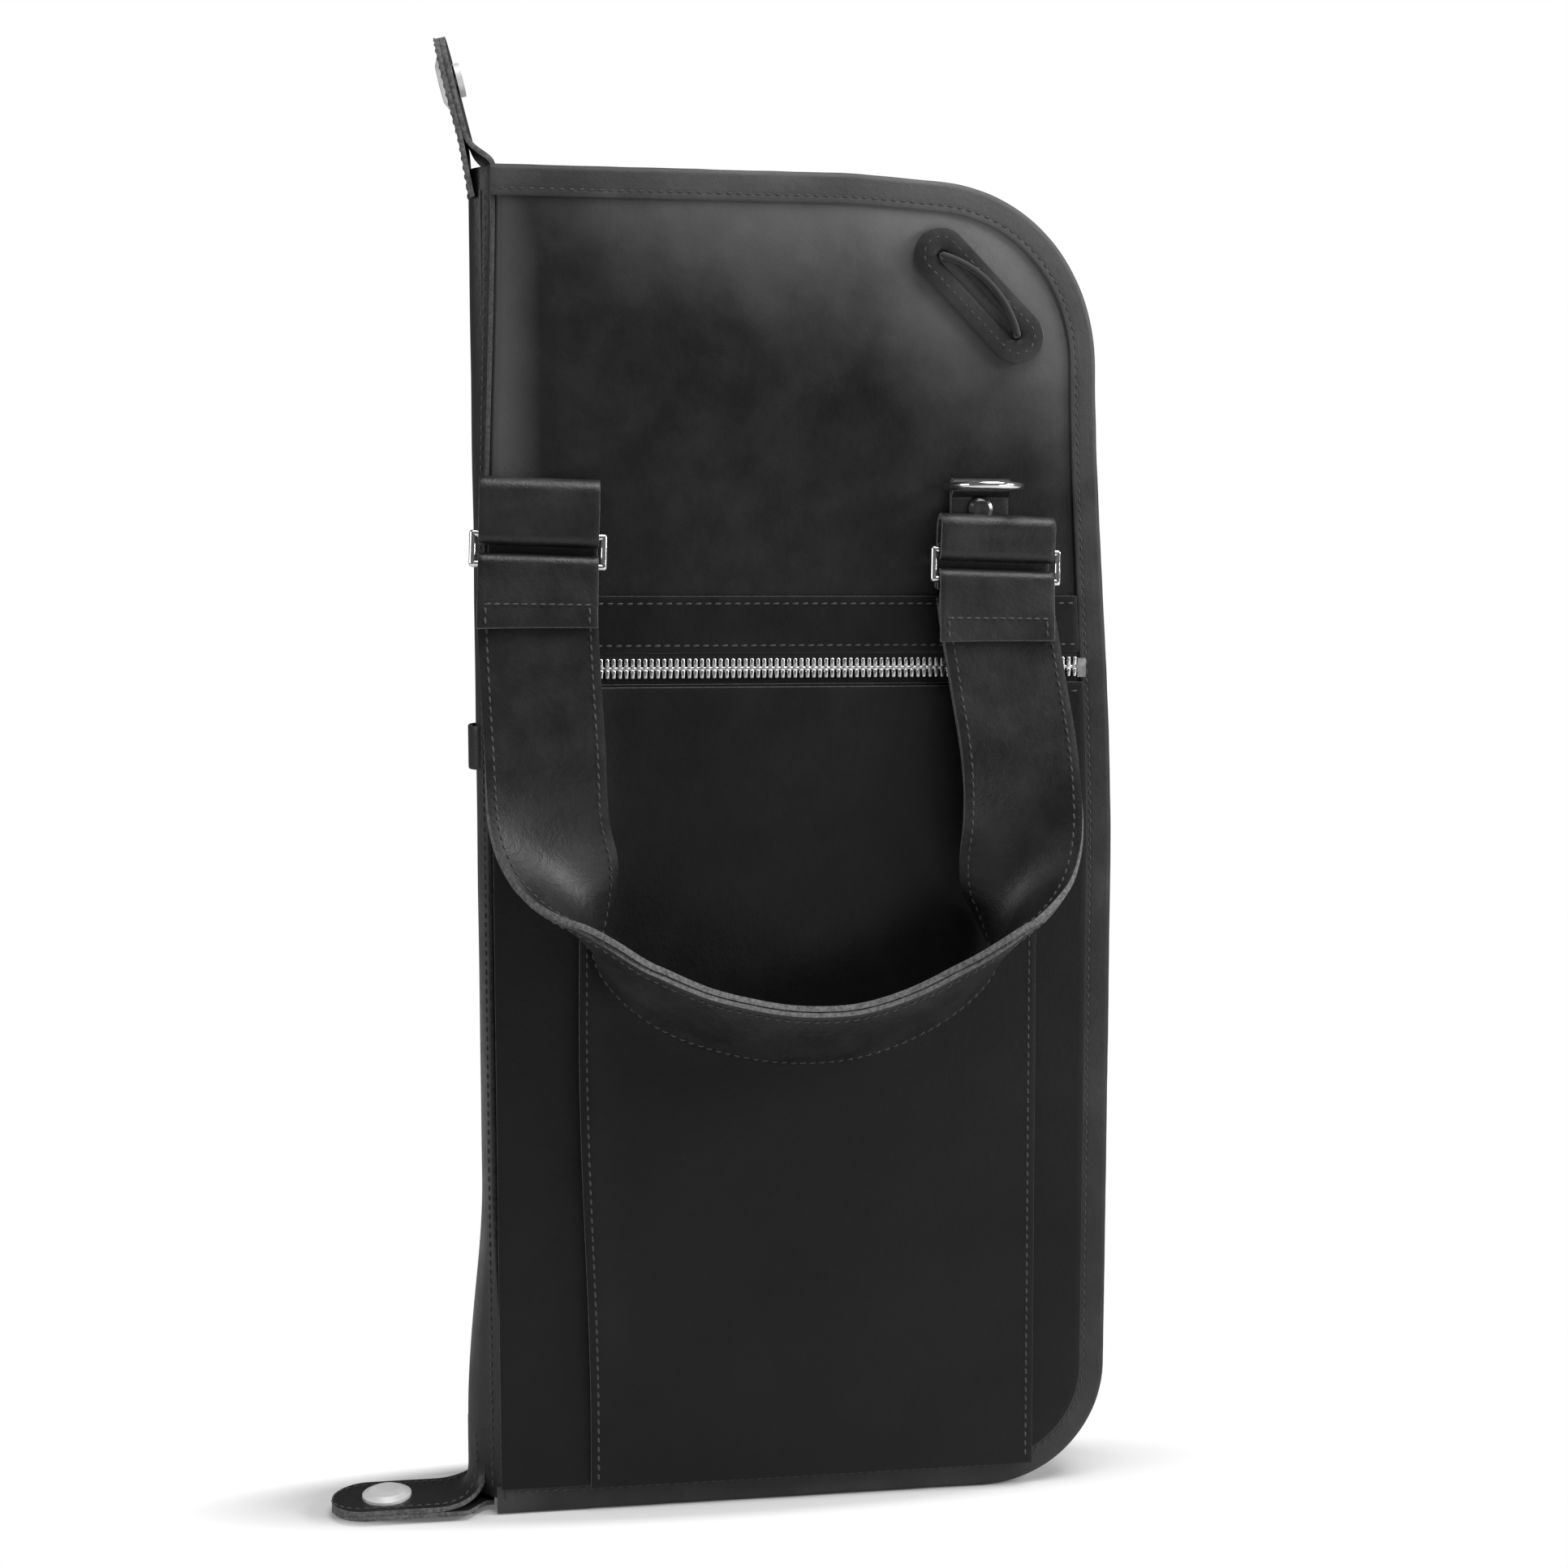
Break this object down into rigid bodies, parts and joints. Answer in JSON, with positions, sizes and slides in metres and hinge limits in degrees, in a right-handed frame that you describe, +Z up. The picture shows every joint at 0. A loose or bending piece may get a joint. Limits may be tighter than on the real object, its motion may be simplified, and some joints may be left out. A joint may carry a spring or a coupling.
{
  "type": "drum stick bag",
  "caption": "Flat zip-around leather bag for drum sticks, standing on its edge, with hanging handle, zip and slip pockets, snap tabs and stick sleeves inside.",
  "frame": {"origin": "on the floor, at the middle of the front half's bottom edge", "axes": "+Z up, -Y towards the side with the handle and pockets, -X towards the spine, +X towards the opening side"},
  "size_m": [0.2765, 0.0823, 0.5123],
  "materials": {
    "black_leather": "waxed, matte with a soft sheen",
    "binding_leather": "waxed, matte",
    "strap_leather": "waxed, matte, raw grey edges",
    "lining_cloth": "plain woven cotton",
    "zip_tape": "woven tape",
    "zip_metal": "nickel plate, slightly worn",
    "nickel": "bright nickel plate",
    "elastic": "woven sheath over rubber"
  },
  "bodies": {
    "front_half": {"front_panel": "black_leather", "front_lining": "lining_cloth", "front_gusset": "black_leather", "front_binding": "binding_leather", "front_zip_tape": "zip_tape", "front_zip_teeth": "zip_metal", "pocket_header": "black_leather", "pocket_zip_tape": "zip_tape", "pocket_zip_teeth": "zip_metal", "pocket_zip_stops": "zip_metal", "zip_pocket_panel": "black_leather", "slip_pocket_panel": "black_leather", "cord_patch": "black_leather", "elastic_cord": "elastic", "d_ring_keeper": "black_leather", "d_ring_rivet": "nickel", "left_anchor_strap": "black_leather", "right_anchor_strap": "black_leather", "inner_pocket": "lining_cloth", "top_stud_patch": "black_leather", "top_snap_stud": "nickel", "bottom_stud_patch": "black_leather", "bottom_snap_stud": "nickel"},
    "left_ring": {"left_ring": "nickel"},
    "right_ring": {"right_ring": "nickel"},
    "handle": {"handle_strap": "strap_leather", "handle_backing": "strap_leather", "left_handle_loop": "strap_leather", "right_handle_loop": "strap_leather"},
    "d_ring": {"d_ring": "nickel"},
    "spine": {"spine_strip": "black_leather", "spine_lining": "lining_cloth", "spine_keeper": "black_leather"},
    "top_tab": {"top_tab": "black_leather", "top_snap_cap": "nickel", "top_snap_socket": "nickel"},
    "bottom_tab": {"bottom_tab": "black_leather", "bottom_snap_cap": "nickel", "bottom_snap_socket": "nickel"},
    "back_half": {"back_panel": "black_leather", "back_lining": "lining_cloth", "back_gusset": "black_leather", "back_binding": "binding_leather", "back_zip_tape": "zip_tape", "back_zip_teeth": "zip_metal", "stick_sleeves": "lining_cloth"},
    "pocket_slider": {"pocket_zip_slider": "zip_metal"},
    "pocket_pull": {"pocket_zip_pull": "zip_metal"},
    "main_slider": {"main_zip_slider": "zip_metal"},
    "main_pull": {"main_zip_pull": "zip_metal"}
  },
  "joints": [
    {"name": "spine_fold", "type": "hinge", "parent": "front_half", "child": "spine", "pos_m": [-0.1095, -0.002, 0.232], "axis": [0, 0, 1], "range_deg": [0, 90]},
    {"name": "back_fold", "type": "hinge", "parent": "spine", "child": "back_half", "pos_m": [-0.1095, 0.032, 0.232], "axis": [0, 0, 1], "range_deg": [0, 90]},
    {"name": "left_ring_swing", "type": "hinge", "parent": "front_half", "child": "left_ring", "pos_m": [-0.09145, -0.0081, 0.3416], "axis": [-0.9995, 0, 0.0319], "range_deg": [0, 20]},
    {"name": "right_ring_swing", "type": "hinge", "parent": "front_half", "child": "right_ring", "pos_m": [0.06517, -0.0081, 0.3366], "axis": [-0.9995, 0, 0.0319], "range_deg": [-1, 24]},
    {"name": "handle_swing", "type": "hinge", "parent": "left_ring", "child": "handle", "pos_m": [-0.09177, -0.00916, 0.33156], "axis": [-0.9995, 0, 0.0319], "range_deg": [0, 115]},
    {"name": "d_ring_swing", "type": "hinge", "parent": "front_half", "child": "d_ring", "pos_m": [0.06, -0.00525, 0.3585], "axis": [-1, 0, 0], "range_deg": [-55, 80]},
    {"name": "top_tab_fold", "type": "hinge", "parent": "spine", "child": "top_tab", "pos_m": [-0.1105, 0.015, 0.4614], "axis": [0, 1, 0], "range_deg": [-40, 93]},
    {"name": "bottom_tab_fold", "type": "hinge", "parent": "spine", "child": "bottom_tab", "pos_m": [-0.115, 0.006, 0.0039], "axis": [0, -1, 0], "range_deg": [-70, 98]},
    {"name": "pocket_zip_travel", "type": "slide", "parent": "front_half", "child": "pocket_slider", "axis": [1, 0, 0], "range_m": [0, 0.186]},
    {"name": "pocket_pull_swing", "type": "hinge", "parent": "pocket_slider", "child": "pocket_pull", "pos_m": [-0.099, -0.008, 0.2963], "axis": [0, 0, -1], "range_deg": [0, 7]},
    {"name": "main_zip_travel", "type": "slide", "parent": "front_half", "child": "main_slider", "axis": [1, 0, 0], "range_m": [0, 0.07]},
    {"name": "main_pull_swing", "type": "hinge", "parent": "main_slider", "child": "main_pull", "pos_m": [-0.038, 0.015, 0.4617], "axis": [0, -1, 0], "range_deg": [0, 170]}
  ],
  "couplings": [
    {"joint": "back_fold", "follows": "spine_fold", "ratio": 1},
    {"joint": "right_ring_swing", "follows": "left_ring_swing", "ratio": 1}
  ]
}
